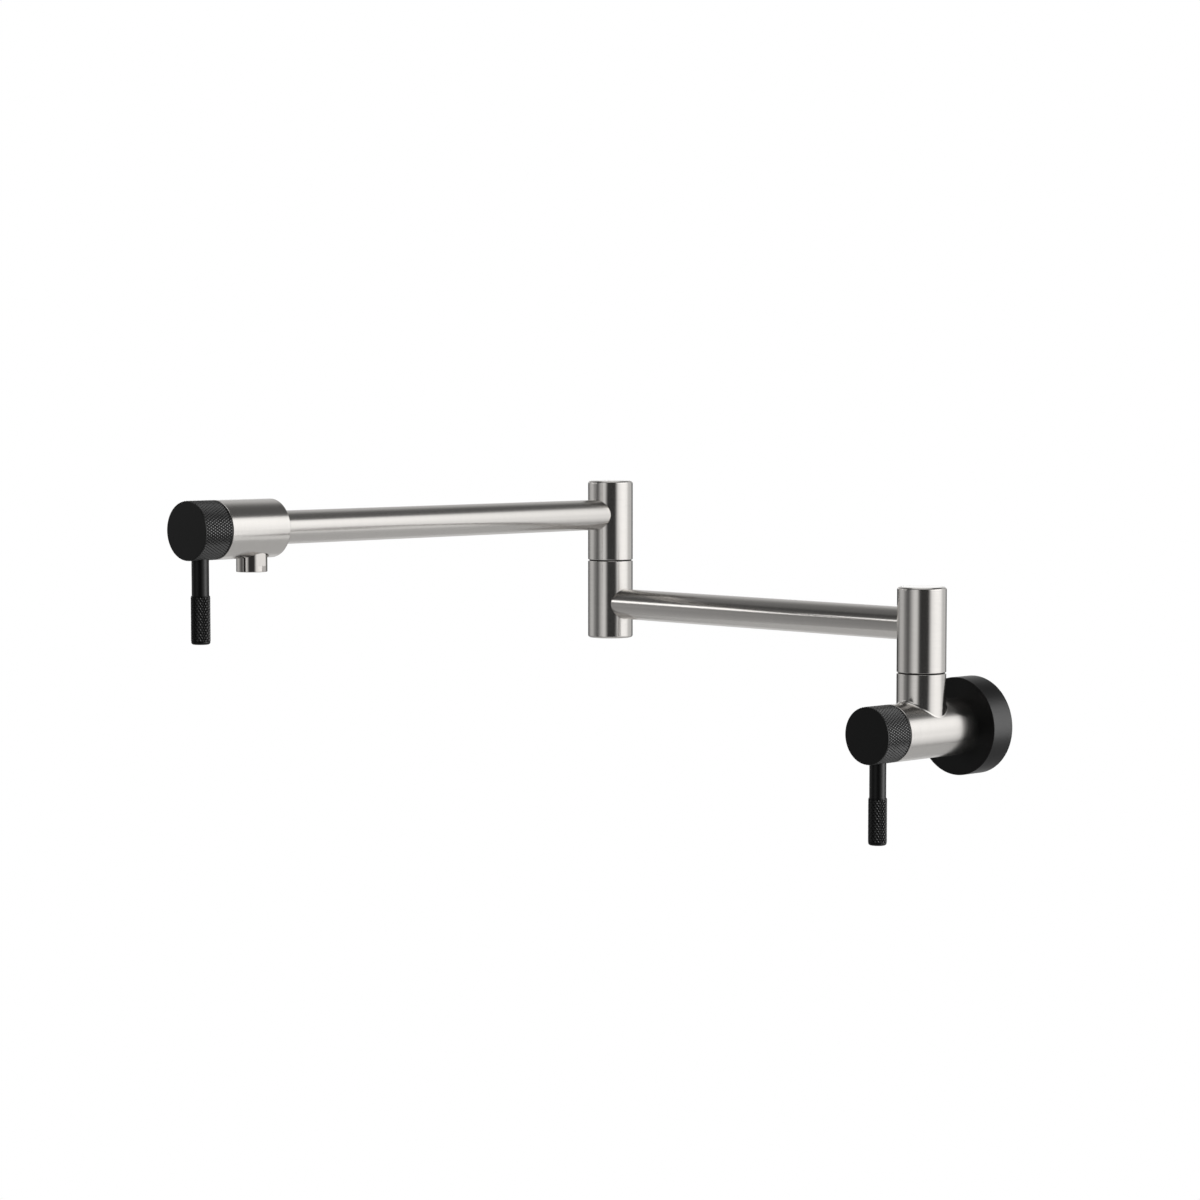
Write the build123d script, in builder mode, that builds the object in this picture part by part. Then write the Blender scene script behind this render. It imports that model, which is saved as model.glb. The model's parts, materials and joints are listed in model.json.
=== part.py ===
"""Wall-mounted pot filler: two arms swing on two upright swivels, with a shut-off valve at each end."""
import os
from math import cos, radians, sin, sqrt

from build123d import *

os.makedirs("parts", exist_ok=True)

# Outside sizes, in millimetres
body_d = 32.4  # valve body, spout head and both knobs
post_d = 27.8  # post and swivel sleeves
tube_d = 18.6  # both arm tubes
flange_d = 56.0
flange_depth = 16.0
sleeve_length = 48.0  # wall sleeve and lower half of the elbow
upper_sleeve_length = 49.0  # upper half of the elbow
knob_length = 18.9
lever_d = 9.4
grip_d = 10.5  # knurled end of a lever, over the knurl
aerator_d = 17.0

# Layout: the origin is the centre of the flange's back, the wall is the XZ plane, the room is towards -Y
post_out = 46.4  # wall to the axis of the wall swivel
post_to_mouth = 26.4  # axis of the wall swivel to the front end of the valve body
post_height = 32.3  # axis of the valve body to the top of its post
lower_arm_inset = 21.3  # outer ends of its two sleeves to the axis of the lower arm
upper_arm_inset = 20.9  # outer end of its sleeve to the axis of the upper arm
lower_arm_reach = 255.0  # swivel axis to swivel axis
upper_arm_reach = 298.3  # elbow axis to nozzle axis
nozzle_to_mouth = 27.2  # nozzle axis to the front end of the spout head
nozzle_to_back = 14.3  # nozzle axis to the back end of the spout head
lower_arm_bearing = 180.0  # degrees from +X, seen from above
upper_arm_bearing = 275.5
lever_start = 14.6  # these three are measured from a knob's axis: lever shoulder, knurl and tip
grip_start = 35.2
lever_reach = 61.5

# Walls and waterways
tube_wall = 1.5
sleeve_wall = 3.0  # around a swivel's running bore
cap_wall = 2.0  # around the cap at a sleeve's end
mouth_wall = 3.5  # around a cartridge nut
chamber_wall = 5.8  # around a cartridge
throat_d = 12.0  # water into a cartridge
branch_d = 14.0  # water from the valve body up to its spigot
inlet_d = 18.6  # half-inch pipe thread, at the crests of its threads
inlet_length = 15.0
inlet_wall = 3.5
tube_socket = 3.0  # depth to which the upper tube enters the spout head

# Clearances
running_clearance = 0.06  # radial, between a turning shaft and its bore
fit_clearance = 0.05  # radial, between fixed pieces that slide or screw together
lap_gap = 0.05  # between faces that slide on each other
free_gap = 0.3  # between pieces that never touch
knob_gap = 0.4  # between a knob and its body
seam_gap = 0.6  # shadow line at a swivel
seam_setback = 0.8  # how far the washer stays inside the shadow line

# Edges
saddle_fillet = 1.5  # where the post leaves the valve body
end_fillet = 1.5  # outer ends of the swivel sleeves
rim_fillet = 0.4  # other outside edges

# Swivel
root_margin = 0.75  # spigot's end to the lower arm's tube
spigot_bore_d = 11.0
spigot_wall = 2.0
root_step = 1.0  # spigot's root is this much smaller in radius than its journal
port_d = 6.4  # cross holes that feed the arm tube
port_margin = 1.2  # water chamber beyond the tube's bore, each way
blind_end = 6.0  # arm axis to the closed end of the spigot's bore
seal_groove = 2.4  # width of a spigot seal's groove
seal_depth = 1.7
seal_land = 1.6  # solid journal between a groove and the water chamber
nose_step = 2.4  # journal to nose, in radius
clip_depth = 0.7  # depth of the clip's groove
clip_width = 2.3  # radial width of the clip
clip_thickness = 1.0
clip_mouth = 7.0  # opening of the clip
nose_lip = 0.6  # nose beyond the clip
washer_thickness = 1.0
cap_thickness = 2.4
plug_thickness = 4.0

# Cartridge, measured inwards from the mouth of its body and then up from its seat
nut_setback = 5.0
nut_length = 6.0
nut_slot_width = 3.0
nut_slot_depth = 2.0
collar_thickness = 2.5
cartridge_reach = 22.0  # collar to seat
water_gap = 1.4  # radial, around the shell
shell_wall = 1.2
seal_proud = 0.6  # seat seal beyond the shell's end
seat_seal_thickness = 2.8
seat_seal_width = 1.2
disc_thickness = 2.8
disc_port_width = 5.2
disc_port_start = 3.2  # ports run from this radius outwards
disc_rim = 1.3  # ceramic left outside a port
foot_thickness = 2.2
foot_width = 6.0
tang_width = 2.0
tang_depth = 1.2
window_height = 4.1
window_width = 9.0
roof_gap = 0.4  # shell beyond a window before its bore narrows
cartridge_groove = 2.2
cartridge_seal_depth = 1.5
neck_wall = 3.0
neck_proud = 1.0  # neck beyond the nut
stem_d = 8.0
stem_flats = 6.4  # across the flats that drive the stem
stem_groove = 2.0
stem_seal_depth = 1.1
quarter_turn = 90.0  # degrees
closed_ports = 45.0  # bearing of the moving disc's ports with the valve shut

# Knob and lever
knob_wall = 3.2
knob_recess = 4.6
knob_front = 6.5  # solid front, beyond the stem
lever_thread_d = 5.0
lever_thread_length = 7.6
screw_length = 3.3
socket_d = 2.6  # hexagon socket of a set screw, across its corners
socket_depth = 1.5
grip_round = 1.4

# Aerator, measured down from the spout head's axis
aerator_reach = 23.7
aerator_floor = 0.6  # head left between cartridge chamber and aerator socket
aerator_seal_thickness = 1.0
aerator_thread = 0.9
aerator_socket_gap = 0.9  # radial gap seen around the nozzle
aerator_wall = 1.5
aerator_recess = 0.6  # insert above the nozzle's rim
aerator_top_d = 12.0
flat_depth = 0.5
flat_end = 20.3
insert_length = 7.0
jet_d = 1.7
jet_pitch = 2.3

# Flange
flange_hub_wall = 5.2
flange_front = 5.0  # solid front of the flange
flange_rim = 4.5
gasket_width = 2.0
gasket_thickness = 1.2
set_screw_d = 4.0
set_screw_length = 6.5
key_hole_d = 4.6
set_screw_out = 8.0  # wall to the set screw's axis

# Radii that several pieces share
body_r = body_d / 2
post_r = post_d / 2
tube_r = tube_d / 2
tube_bore_r = tube_r - tube_wall
bore_r = post_r - sleeve_wall
cap_r = post_r - cap_wall
journal_r = bore_r - running_clearance
root_r = journal_r - root_step
root_hole_r = root_r + fit_clearance
inlet_r = inlet_d / 2
shank_r = inlet_r + inlet_wall
mouth_r = body_r - mouth_wall
chamber_r = body_r - chamber_wall
shell_r = chamber_r - water_gap
disc_bore_r = shell_r - shell_wall
disc_r = disc_bore_r - fit_clearance
turning_r = disc_bore_r - free_gap
disc_port_r = disc_r - disc_rim
stem_r = stem_d / 2
neck_r = stem_r + neck_wall
lever_r = lever_d / 2
lever_thread_r = lever_thread_d / 2
aerator_r = aerator_d / 2
aerator_socket_r = aerator_r + aerator_socket_gap
aerator_bore_r = aerator_r - aerator_wall

# Heights inside a valve: zero is the mouth of its body and the room side is positive
nut_top = -nut_setback
collar_top = nut_top - nut_length
shoulder = collar_top - collar_thickness
seat = shoulder - cartridge_reach
fixed_disc_bottom = seat + seat_seal_thickness
moving_disc_bottom = fixed_disc_bottom + disc_thickness + lap_gap
foot_bottom = moving_disc_bottom + disc_thickness
foot_top = foot_bottom + foot_thickness
window_bottom = foot_top + lap_gap
roof = window_bottom + window_height + roof_gap
neck_top = nut_top + neck_proud
knob_back = knob_gap
knob_face = knob_back + knob_length
stem_top = knob_face - knob_front
lever_height = knob_back + knob_length / 2

# Heights inside a swivel: zero is the top of the piece below
lower_arm_rise = seam_gap + sleeve_length - lower_arm_inset
upper_arm_rise = seam_gap + upper_sleeve_length - upper_arm_inset
lower_arm_drop = sleeve_length - lower_arm_inset
spigot_root = lower_arm_drop - tube_r - root_margin  # length screwed into the piece below
nose_setback = cap_thickness + free_gap  # sleeve's top to the spigot's nose
clip_setback = nose_setback + nose_lip + clip_thickness
journal_setback = clip_setback + washer_thickness
port_half = tube_bore_r + port_margin

# Places: each valve's plane faces the room, and each swivel's plane lies on the piece below
lower_way = Vector(cos(radians(lower_arm_bearing)), sin(radians(lower_arm_bearing)), 0)
upper_way = Vector(cos(radians(upper_arm_bearing)), sin(radians(upper_arm_bearing)), 0)
up = Vector(0, 0, 1)
post_base = Vector(0, -post_out, 0)
wall_pivot = post_base + up * post_height
lower_arm_height = post_height + lower_arm_rise
elbow_pivot = post_base + lower_way * lower_arm_reach + up * (lower_arm_height + lower_arm_drop)
upper_arm_root = elbow_pivot + up * upper_arm_rise
nozzle_centre = upper_arm_root + upper_way * upper_arm_reach

wall = Plane(origin=(0, 0, 0), x_dir=(1, 0, 0), z_dir=(0, -1, 0))
wall_valve = wall.offset(post_out + post_to_mouth)
spout_mouth = nozzle_centre + upper_way * nozzle_to_mouth
spout_valve = Plane(origin=spout_mouth, x_dir=up.cross(upper_way), z_dir=upper_way)
wall_swivel = Plane(origin=wall_pivot, x_dir=lower_way, z_dir=up)
elbow_swivel = Plane(origin=elbow_pivot, x_dir=upper_way, z_dir=up)
elbow_below = Plane(origin=elbow_pivot, x_dir=-lower_way, z_dir=up)


def save(piece, name):
    """Name a finished piece and write it to its own file."""
    piece.part.label = name
    export_step(piece.part, f"parts/{name}.step")


def axis_of(place):
    """The line that a place's turned pieces share."""
    return Axis(place.origin, place.z_dir)


def outline(place, points):
    """Closed outline of (radius, height) points on the half plane through a place's axis."""
    with BuildSketch(Plane(origin=place.origin, x_dir=place.x_dir, z_dir=-place.y_dir)) as half:
        with BuildLine():
            Polyline(*points, close=True)
        make_face()
    return half.sketch


def ring(place, inner, outer, bottom, top):
    """Square section of a plain ring, for washers, discs and caps."""
    return outline(place, [(inner, bottom), (outer, bottom), (outer, top), (inner, top)])


def squeezed_ring(place, inner, outer, bottom, top):
    """Section of a round seal pressed flat between its groove and its bore."""
    rise = (top - bottom) / 4
    middle = (inner + outer) / 2
    return outline(place, [
        (inner, bottom + rise), (middle, bottom), (outer, bottom + rise),
        (outer, top - rise), (middle, top), (inner, top - rise),
    ])


def side_plane(place, height):
    """Plane on a place's axis at a height, facing along the place's own X."""
    centre = place.from_local_coords(Vector(0, 0, height))
    return Plane(origin=centre, x_dir=place.y_dir, z_dir=place.x_dir)


def end_rims(piece, axis, end, radius):
    """Round edges of one radius at the first (0) or last (-1) end of a piece along an axis."""
    rims = piece.edges().filter_by(GeomType.CIRCLE)
    return rims.filter_by(lambda rim: abs(rim.radius - radius) < fit_clearance).group_by(axis)[end]


def make_swivel(prefix, place, length, arm_rise):
    """Hollow spigot screwed into the piece below, with its seals, washers and clip."""
    nose_top = seam_gap + length - nose_setback
    clip_bottom = seam_gap + length - clip_setback
    journal_top = seam_gap + length - journal_setback
    chamber_bottom = arm_rise - port_half
    chamber_top = arm_rise + port_half
    groove_r = journal_r - seal_depth
    lower_groove = chamber_bottom - seal_land - seal_groove
    upper_groove = (chamber_top + journal_top - seal_groove) / 2
    bore = spigot_bore_d / 2
    bore_end = arm_rise + blind_end
    neck = bore + spigot_wall
    nose = journal_r - nose_step
    clip_r = nose - clip_depth

    with BuildPart() as spigot:
        revolve(outline(place, [
            (0, bore_end), (bore, bore_end), (bore, -spigot_root), (root_r, -spigot_root), (root_r, 0),
            (journal_r, 0), (journal_r, lower_groove), (groove_r, lower_groove),
            (groove_r, lower_groove + seal_groove), (journal_r, lower_groove + seal_groove),
            (journal_r, chamber_bottom), (neck, chamber_bottom), (neck, chamber_top),
            (journal_r, chamber_top), (journal_r, upper_groove), (groove_r, upper_groove),
            (groove_r, upper_groove + seal_groove), (journal_r, upper_groove + seal_groove),
            (journal_r, journal_top), (nose, journal_top), (nose, clip_bottom), (clip_r, clip_bottom),
            (clip_r, clip_bottom + clip_thickness), (nose, clip_bottom + clip_thickness),
            (nose, nose_top), (0, nose_top),
        ]), axis=axis_of(place))
        across = side_plane(place, arm_rise)
        along = Plane(origin=across.origin, x_dir=place.x_dir, z_dir=place.y_dir)
        for way in (across, along):
            with BuildSketch(way):
                Circle(port_d / 2)
            extrude(amount=neck + free_gap, both=True, mode=Mode.SUBTRACT)
    save(spigot, f"{prefix}_spigot")

    with BuildPart() as seals:
        seal_r = bore_r - running_clearance / 2
        for groove in (lower_groove, upper_groove):
            seal_end = groove + seal_groove - fit_clearance
            seal = squeezed_ring(place, groove_r, seal_r, groove + fit_clearance, seal_end)
            revolve(seal, axis=axis_of(place))
    save(seals, f"{prefix}_spigot_seals")

    with BuildPart() as thrust_washer:
        washer_r = post_r - seam_setback
        revolve(ring(place, journal_r + fit_clearance, washer_r, 0, seam_gap - lap_gap), axis=axis_of(place))
    save(thrust_washer, f"{prefix}_thrust_washer")

    with BuildPart() as retaining_washer:
        section = ring(place, nose + fit_clearance, cap_r - free_gap, journal_top, clip_bottom)
        revolve(section, axis=axis_of(place))
    save(retaining_washer, f"{prefix}_retaining_washer")

    with BuildPart() as clip:
        with BuildSketch(place.offset(clip_bottom)):
            Circle(clip_r + clip_width)
            Circle(clip_r + fit_clearance, mode=Mode.SUBTRACT)
            with Locations((clip_r + clip_width, 0)):
                Rectangle(2 * clip_width + clip_r, clip_mouth, mode=Mode.SUBTRACT)
        extrude(amount=clip_thickness)
    save(clip, f"{prefix}_retaining_clip")


def make_turning_sleeve(name, cap_name, place, length, arm_rise):
    """Sleeve that turns on a spigot, with the arm tube's hole in its side, and the cap in its top."""
    top = seam_gap + length
    cap_seat = top - journal_setback - lap_gap
    with BuildPart() as sleeve:
        revolve(outline(place, [
            (bore_r, seam_gap), (post_r, seam_gap), (post_r, top), (cap_r, top), (cap_r, cap_seat),
            (bore_r, cap_seat),
        ]), axis=axis_of(place))
        fillet(end_rims(sleeve, Axis.Z, -1, post_r), radius=min(end_fillet, cap_wall - free_gap))
        fillet(end_rims(sleeve, Axis.Z, 0, post_r), radius=rim_fillet)
        with BuildSketch(side_plane(place, arm_rise)):
            Circle(tube_r + fit_clearance)
        extrude(amount=post_r, mode=Mode.SUBTRACT)
    save(sleeve, name)

    with BuildPart() as cap:
        revolve(ring(place, 0, cap_r - fit_clearance, top - cap_thickness, top), axis=axis_of(place))
        chamfer(end_rims(cap, Axis.Z, -1, cap_r - fit_clearance), length=free_gap)
    save(cap, cap_name)


def make_disc(name, place, bottom, radius, port_bearing, driven):
    """Lapped ceramic disc with two ports, and the stem's slot in its top where the stem drives it."""
    with BuildPart() as disc:
        with BuildSketch(place.offset(bottom)):
            Circle(radius)
        extrude(amount=disc_thickness)
        with BuildSketch(place.offset(bottom)):
            Circle(disc_port_r)
            Rectangle(2 * disc_port_r, disc_port_width, rotation=port_bearing, mode=Mode.INTERSECT)
            Rectangle(2 * disc_port_start, 2 * disc_port_width, rotation=port_bearing, mode=Mode.SUBTRACT)
        extrude(amount=disc_thickness, mode=Mode.SUBTRACT)
        if driven:
            with BuildSketch(place.offset(bottom + disc_thickness)):
                slot_width = tang_width + 2 * fit_clearance
                Rectangle(2 * disc_r, slot_width, rotation=port_bearing - quarter_turn)
            extrude(amount=-(tang_depth + fit_clearance), mode=Mode.SUBTRACT)
    save(disc, name)


def make_cartridge(prefix, place):
    """Quarter-turn ceramic cartridge: its shell and still pieces, then the disc and stem that turn."""
    land_r = chamber_r - fit_clearance
    groove_r = land_r - cartridge_seal_depth
    groove = shoulder - seal_land - cartridge_groove
    groove_end = groove + cartridge_groove
    land_bottom = groove - seal_land
    collar_r = mouth_r - fit_clearance
    guide_r = stem_r + running_clearance
    shell_bottom = seat + seal_proud
    foot_way = foot_width + 2 * free_gap

    with BuildPart() as shell:
        revolve(outline(place, [
            (disc_bore_r, shell_bottom), (shell_r, shell_bottom), (shell_r, land_bottom),
            (land_r, land_bottom), (land_r, groove), (groove_r, groove), (groove_r, groove_end),
            (land_r, groove_end), (land_r, shoulder), (collar_r, shoulder), (collar_r, collar_top),
            (neck_r, collar_top), (neck_r, neck_top), (guide_r, neck_top), (guide_r, roof),
            (disc_bore_r, roof),
        ]), axis=axis_of(place))
        with BuildSketch(place.offset(window_bottom)):
            Rectangle(2 * shell_r, window_width)
        extrude(amount=window_height, mode=Mode.SUBTRACT)
        with BuildSketch(place.offset(foot_bottom)):
            Circle(disc_bore_r + shell_wall / 2)
            Circle(disc_port_r, mode=Mode.SUBTRACT)
            for bearing in (closed_ports - quarter_turn, closed_ports):
                Rectangle(2 * body_d, foot_way, rotation=bearing, mode=Mode.SUBTRACT)
            Rectangle(2 * body_d, sqrt(2) * foot_way, mode=Mode.SUBTRACT)
        extrude(amount=foot_thickness)
    save(shell, f"{prefix}_cartridge_shell")

    with BuildPart() as cartridge_seal:
        seal = squeezed_ring(place, groove_r, chamber_r, groove + fit_clearance, groove_end - fit_clearance)
        revolve(seal, axis=axis_of(place))
    save(cartridge_seal, f"{prefix}_cartridge_seal")

    with BuildPart() as seat_seal:
        revolve(ring(place, disc_r - seat_seal_width, disc_r, seat, fixed_disc_bottom), axis=axis_of(place))
    save(seat_seal, f"{prefix}_seat_seal")

    make_disc(f"{prefix}_fixed_disc", place, fixed_disc_bottom, disc_r, closed_ports + quarter_turn, False)
    make_disc(f"{prefix}_moving_disc", place, moving_disc_bottom, turning_r, closed_ports, True)

    with BuildPart() as nut:
        revolve(ring(place, neck_r + free_gap, collar_r, collar_top, nut_top), axis=axis_of(place))
        with BuildSketch(place.offset(nut_top)):
            Rectangle(2 * collar_r, nut_slot_width)
            Rectangle(nut_slot_width, 2 * collar_r)
        extrude(amount=-nut_slot_depth, mode=Mode.SUBTRACT)
    save(nut, f"{prefix}_cartridge_nut")

    stem_groove_r = stem_r - stem_seal_depth
    seal_bottom = (roof + neck_top - stem_groove) / 2
    seal_top = seal_bottom + stem_groove
    with BuildPart() as stem:
        revolve(outline(place, [
            (0, foot_bottom), (stem_r, foot_bottom), (stem_r, seal_bottom), (stem_groove_r, seal_bottom),
            (stem_groove_r, seal_top), (stem_r, seal_top), (stem_r, stem_top), (0, stem_top),
        ]), axis=axis_of(place))
        with BuildSketch(place.offset(foot_bottom)):
            Circle(turning_r)
            Rectangle(2 * turning_r, foot_width, rotation=closed_ports - quarter_turn, mode=Mode.INTERSECT)
        extrude(amount=foot_thickness - lap_gap)
        with BuildSketch(place.offset(foot_bottom)):
            Rectangle(2 * disc_port_r, tang_width, rotation=closed_ports - quarter_turn)
        extrude(amount=-tang_depth)
        with BuildSketch(place.offset(neck_top)):
            Circle(2 * stem_r)
            Rectangle(4 * stem_r, stem_flats, mode=Mode.SUBTRACT)
        extrude(amount=stem_top - neck_top, mode=Mode.SUBTRACT)
    save(stem, f"{prefix}_stem")

    with BuildPart() as stem_seal:
        seal_r = stem_r + running_clearance / 2
        seal_end = seal_top - fit_clearance
        seal = squeezed_ring(place, stem_groove_r, seal_r, seal_bottom + fit_clearance, seal_end)
        revolve(seal, axis=axis_of(place))
    save(stem_seal, f"{prefix}_stem_seal")


def make_handle(prefix, place):
    """Knurled knob on the stem, the screw that locks it, and the lever that closes the screw's hole."""
    lever_place = Plane(
        origin=place.from_local_coords(Vector(0, 0, lever_height)), x_dir=place.x_dir, z_dir=-place.y_dir
    )
    recess_face = knob_back + knob_recess
    recess_r = body_r - knob_wall
    thread_start = lever_start - lever_thread_length
    screw_start = stem_flats / 2 + fit_clearance

    with BuildPart() as knob:
        revolve(outline(place, [
            (0, recess_face), (recess_r, recess_face), (recess_r, knob_back), (body_r, knob_back),
            (body_r, knob_face), (0, knob_face),
        ]), axis=axis_of(place))
        fillet(knob.edges().filter_by(GeomType.CIRCLE).sort_by(SortBy.RADIUS)[-2:], radius=rim_fillet)
        with BuildSketch(place.offset(recess_face)):
            Circle(stem_r + fit_clearance)
            Rectangle(4 * stem_r, stem_flats + 2 * fit_clearance, mode=Mode.INTERSECT)
        extrude(amount=stem_top + free_gap - recess_face, mode=Mode.SUBTRACT)
        with BuildSketch(lever_place):
            Circle(lever_thread_r + fit_clearance)
        extrude(amount=body_r, mode=Mode.SUBTRACT)
        with BuildSketch(lever_place.offset(lever_start)):
            Circle(lever_r + fit_clearance)
        extrude(amount=body_r, mode=Mode.SUBTRACT)
    save(knob, f"{prefix}_knob")

    with BuildPart() as screw:
        with BuildSketch(lever_place.offset(screw_start)):
            Circle(lever_thread_r)
        extrude(amount=screw_length)
        with BuildSketch(lever_place.offset(screw_start + screw_length)):
            RegularPolygon(socket_d / 2, 6)
        extrude(amount=-socket_depth, mode=Mode.SUBTRACT)
    save(screw, f"{prefix}_knob_screw")

    with BuildPart() as lever:
        revolve(outline(lever_place, [
            (0, thread_start), (lever_thread_r, thread_start), (lever_thread_r, lever_start),
            (lever_r, lever_start), (lever_r, grip_start), (grip_d / 2, grip_start),
            (grip_d / 2, lever_reach), (0, lever_reach),
        ]), axis=axis_of(lever_place))
        fillet(end_rims(lever, Axis.Z, 0, grip_d / 2), radius=grip_round)
    save(lever, f"{prefix}_lever")


def make_tube(name, start, way, length, trims):
    """Arm tube along a way, its ends hollowed to the bores of the sleeves (place, radius) it enters."""
    with BuildPart() as tube:
        with BuildSketch(Plane(origin=start, x_dir=up, z_dir=way)):
            Circle(tube_r)
            Circle(tube_bore_r, mode=Mode.SUBTRACT)
        extrude(amount=length)
        for centre, radius in trims:
            with BuildSketch(Plane(origin=centre, x_dir=way, z_dir=up)):
                Circle(radius)
            extrude(amount=tube_d, both=True, mode=Mode.SUBTRACT)
    save(tube, name)


# Wall flange, with its gasket in a groove behind and its set screw underneath
flange_r = flange_d / 2
hub_r = shank_r + fit_clearance + flange_hub_wall
rim_r = flange_r - flange_rim
gasket_inner = flange_r - (flange_rim + gasket_width) / 2
gasket_outer = gasket_inner + gasket_width
with BuildPart() as wall_flange:
    revolve(outline(wall, [
        (shank_r + fit_clearance, 0), (hub_r, 0), (hub_r, flange_depth - flange_front),
        (rim_r, flange_depth - flange_front), (rim_r, 0), (gasket_inner, 0), (gasket_inner, gasket_thickness),
        (gasket_outer, gasket_thickness), (gasket_outer, 0), (flange_r, 0), (flange_r, flange_depth),
        (shank_r + fit_clearance, flange_depth),
    ]), axis=axis_of(wall))
    fillet(end_rims(wall_flange, Axis.Y, 0, flange_r), radius=rim_fillet)
    flange_side = Plane(origin=(0, -set_screw_out, 0), x_dir=(1, 0, 0), z_dir=(0, 0, -1))
    with BuildSketch(flange_side):
        Circle(set_screw_d / 2 + fit_clearance)
    extrude(amount=hub_r, mode=Mode.SUBTRACT)
    with BuildSketch(flange_side.offset(hub_r)):
        Circle(key_hole_d / 2)
    extrude(amount=flange_r, mode=Mode.SUBTRACT)
save(wall_flange, "wall_flange")

with BuildPart() as flange_gasket:
    revolve(ring(wall, gasket_inner, gasket_outer, 0, gasket_thickness), axis=axis_of(wall))
save(flange_gasket, "flange_gasket")

with BuildPart() as flange_set_screw:
    with BuildSketch(flange_side.offset(shank_r + fit_clearance)):
        Circle(set_screw_d / 2)
    extrude(amount=set_screw_length)
    with BuildSketch(flange_side.offset(shank_r + fit_clearance + set_screw_length)):
        RegularPolygon(socket_d / 2, 6)
    extrude(amount=-socket_depth, mode=Mode.SUBTRACT)
save(flange_set_screw, "flange_set_screw")

# Valve body: shank and inlet behind, cartridge chamber in front, post with the spigot's socket on top
inlet_mouth = -(post_out + post_to_mouth)
body_back = inlet_mouth + flange_depth
inlet_end = inlet_mouth + inlet_length
with BuildPart() as valve_body:
    revolve(outline(wall_valve, [
        (0, inlet_mouth), (shank_r, inlet_mouth), (shank_r, body_back), (body_r, body_back),
        (body_r, 0), (0, 0),
    ]), axis=axis_of(wall_valve))
    with BuildSketch(Plane(origin=post_base, x_dir=lower_way, z_dir=up)):
        Circle(post_r)
    extrude(amount=post_height)
    saddle = valve_body.edges().filter_by(GeomType.BSPLINE)
    fillet(saddle, radius=saddle_fillet)
    fillet(end_rims(valve_body, Axis.Y, 0, body_r), radius=rim_fillet)
    fillet(end_rims(valve_body, Axis.Z, -1, post_r), radius=rim_fillet)
    revolve(outline(wall_valve, [
        (0, inlet_mouth), (inlet_r, inlet_mouth), (inlet_r, inlet_end), (throat_d / 2, inlet_end),
        (throat_d / 2, seat), (chamber_r, seat), (chamber_r, shoulder), (mouth_r, shoulder),
        (mouth_r, 0), (0, 0),
    ]), axis=axis_of(wall_valve), mode=Mode.SUBTRACT)
    revolve(outline(wall_swivel, [
        (0, -post_height), (branch_d / 2, -post_height), (branch_d / 2, -spigot_root),
        (root_hole_r, -spigot_root), (root_hole_r, 0), (0, 0),
    ]), axis=axis_of(wall_swivel), mode=Mode.SUBTRACT)
save(valve_body, "valve_body")

make_cartridge("wall", wall_valve)
make_handle("wall", wall_valve)

# Lower arm: sleeve on the wall post, tube, and the lower half of the elbow with its plug
make_swivel("wall", wall_swivel, sleeve_length, lower_arm_rise)
make_turning_sleeve("wall_sleeve", "wall_sleeve_cap", wall_swivel, sleeve_length, lower_arm_rise)
make_tube("lower_arm_tube", wall_pivot + up * lower_arm_rise, lower_way, lower_arm_reach, [
    (wall_pivot + up * lower_arm_rise, bore_r + free_gap),
    (elbow_pivot - up * lower_arm_drop, root_hole_r + free_gap),
])

with BuildPart() as elbow_lower_sleeve:
    revolve(ring(elbow_below, root_hole_r, post_r, -sleeve_length, 0), axis=axis_of(elbow_below))
    fillet(end_rims(elbow_lower_sleeve, Axis.Z, 0, post_r), radius=end_fillet)
    fillet(end_rims(elbow_lower_sleeve, Axis.Z, -1, post_r), radius=rim_fillet)
    with BuildSketch(side_plane(elbow_below, -lower_arm_drop)):
        Circle(tube_r + fit_clearance)
    extrude(amount=post_r, mode=Mode.SUBTRACT)
save(elbow_lower_sleeve, "elbow_lower_sleeve")

with BuildPart() as elbow_plug:
    plug_r = root_hole_r - fit_clearance
    plug_top = plug_thickness - sleeve_length
    revolve(ring(elbow_below, 0, plug_r, -sleeve_length, plug_top), axis=axis_of(elbow_below))
    chamfer(end_rims(elbow_plug, Axis.Z, 0, plug_r), length=free_gap)
save(elbow_plug, "elbow_plug")

# Upper arm: upper half of the elbow, tube, and the spout head with its valve and aerator
make_swivel("elbow", elbow_swivel, upper_sleeve_length, upper_arm_rise)
make_turning_sleeve("elbow_upper_sleeve", "elbow_cap", elbow_swivel, upper_sleeve_length, upper_arm_rise)
upper_tube_length = upper_arm_reach - nozzle_to_back + tube_socket
make_tube("upper_arm_tube", upper_arm_root, upper_way, upper_tube_length, [
    (upper_arm_root, bore_r + free_gap),
])

head_back = -(nozzle_to_mouth + nozzle_to_back)
socket_floor = head_back + tube_socket
nozzle = Plane(origin=nozzle_centre, x_dir=spout_valve.x_dir, z_dir=-up)
aerator_socket_top = chamber_r + aerator_floor
aerator_top = aerator_socket_top + aerator_seal_thickness
thread_end = aerator_top + aerator_thread
aerator_thread_r = aerator_socket_r - fit_clearance
with BuildPart() as spout_head:
    revolve(outline(spout_valve, [
        (throat_d / 2, socket_floor), (tube_r + fit_clearance, socket_floor),
        (tube_r + fit_clearance, head_back), (body_r, head_back), (body_r, 0), (mouth_r, 0),
        (mouth_r, shoulder), (chamber_r, shoulder), (chamber_r, seat), (throat_d / 2, seat),
    ]), axis=axis_of(spout_valve))
    fillet(spout_head.edges().filter_by(GeomType.CIRCLE).sort_by(SortBy.RADIUS)[-2:], radius=rim_fillet)
    with BuildSketch(nozzle):
        Circle(aerator_top_d / 2)
    extrude(amount=aerator_socket_top, mode=Mode.SUBTRACT)
    with BuildSketch(nozzle.offset(aerator_socket_top)):
        Circle(aerator_socket_r)
    extrude(amount=body_r, mode=Mode.SUBTRACT)
save(spout_head, "spout_head")

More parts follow.
